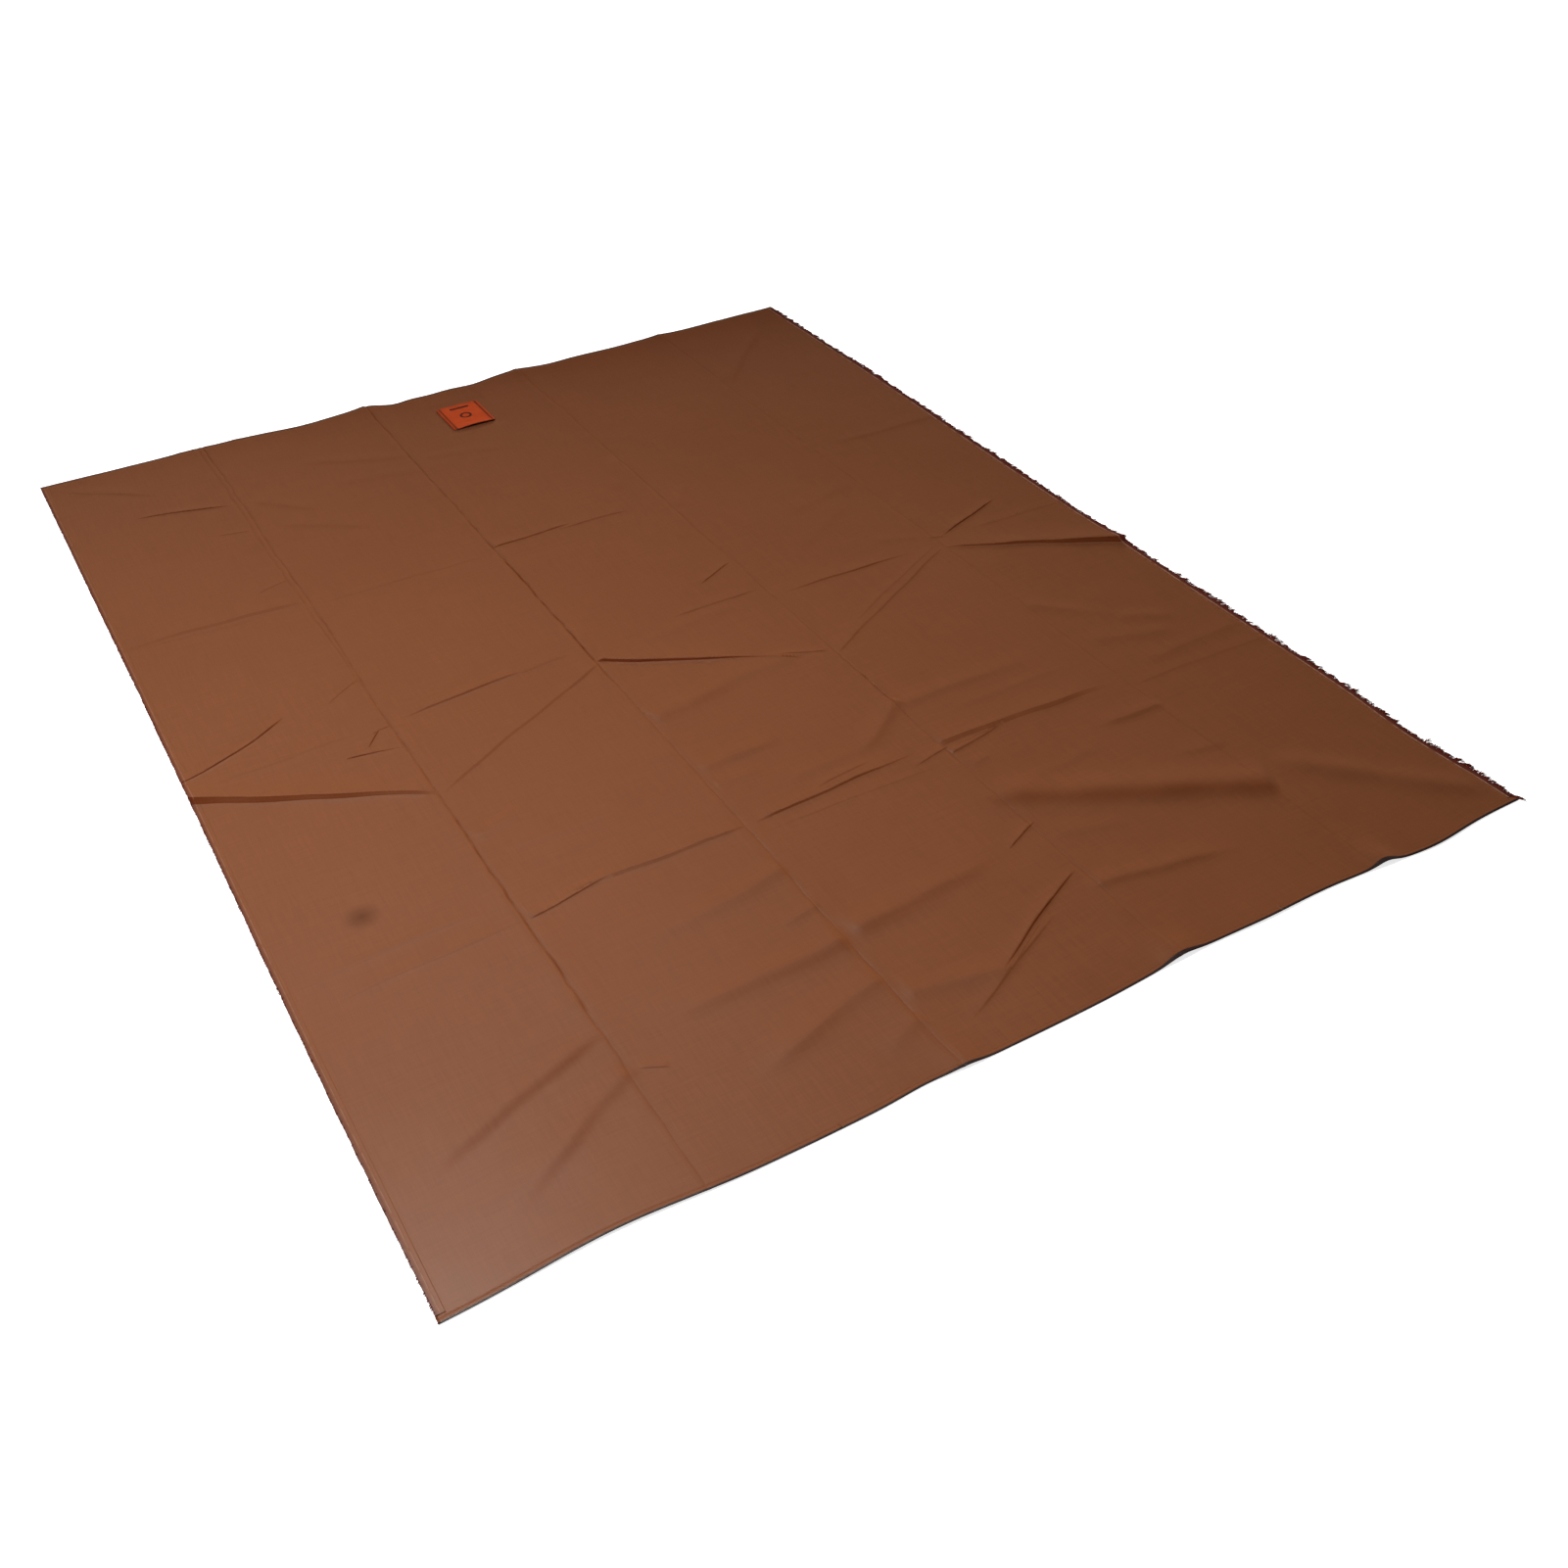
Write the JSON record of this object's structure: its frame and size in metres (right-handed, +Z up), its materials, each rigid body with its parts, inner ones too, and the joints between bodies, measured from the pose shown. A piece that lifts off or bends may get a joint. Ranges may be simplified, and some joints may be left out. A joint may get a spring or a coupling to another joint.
{
  "type": "fabric spa cover sheet",
  "caption": "Thin woven cover sheet with turned hems, fringed selvedges and a sewn leather label; folds lengthwise into a stack of flat strips.",
  "frame": {"origin": "centre of the sheet's underside, on the plane that it lies on", "axes": "+X across the sheet towards the fringed edge, +Y along it towards the head edge with the label, +Z up out of the face that carries the label"},
  "size_m": [1.4999, 1.95, 0.0029],
  "materials": {
    "cloth": "brown plain weave, matte with a soft sheen",
    "hem": "the same brown cloth in three pressed layers",
    "selvedge": "dense dark brown band with loose yarn ends",
    "leather": "rust brown leather, satin",
    "seam_thread": "brown sewing thread",
    "label_thread": "rust brown sewing thread"
  },
  "bodies": {
    "left_strip": {"panel_left": "cloth", "head_hem_left": "hem", "foot_hem_left": "hem", "head_stitches_left": "seam_thread", "foot_stitches_left": "seam_thread", "selvedge_left": "selvedge"},
    "left_middle_strip": {"panel_left_middle": "cloth", "head_hem_left_middle": "hem", "foot_hem_left_middle": "hem", "head_stitches_left_middle": "seam_thread", "foot_stitches_left_middle": "seam_thread"},
    "centre_strip": {"panel_centre": "cloth", "head_hem_centre": "hem", "foot_hem_centre": "hem", "head_stitches_centre": "seam_thread", "foot_stitches_centre": "seam_thread", "leather_label": "leather", "label_stitches_left": "label_thread", "label_stitches_right": "label_thread"},
    "right_middle_strip": {"panel_right_middle": "cloth", "head_hem_right_middle": "hem", "foot_hem_right_middle": "hem", "head_stitches_right_middle": "seam_thread", "foot_stitches_right_middle": "seam_thread"},
    "right_strip": {"panel_right": "cloth", "head_hem_right": "hem", "foot_hem_right": "hem", "head_stitches_right": "seam_thread", "foot_stitches_right": "seam_thread", "selvedge_fringe_right": "selvedge"}
  },
  "joints": [
    {"name": "fold_left", "type": "hinge", "parent": "centre_strip", "child": "left_middle_strip", "pos_m": [-0.15, 0, 0.0053], "axis": [0, 1, 0], "range_deg": [0, 179.9]},
    {"name": "fold_left_outer", "type": "hinge", "parent": "left_middle_strip", "child": "left_strip", "pos_m": [-0.465, 0, -0.0012], "axis": [0, 1, 0], "range_deg": [-179.9, 0]},
    {"name": "fold_right", "type": "hinge", "parent": "centre_strip", "child": "right_middle_strip", "pos_m": [0.165, 0, 0.0118], "axis": [0, -1, 0], "range_deg": [0, 179.9]},
    {"name": "fold_right_outer", "type": "hinge", "parent": "right_middle_strip", "child": "right_strip", "pos_m": [0.48, 0, -0.0012], "axis": [0, -1, 0], "range_deg": [-179.9, 0]}
  ],
  "couplings": [
    {"joint": "fold_left_outer", "follows": "fold_left", "ratio": -1},
    {"joint": "fold_right_outer", "follows": "fold_right", "ratio": -1}
  ]
}
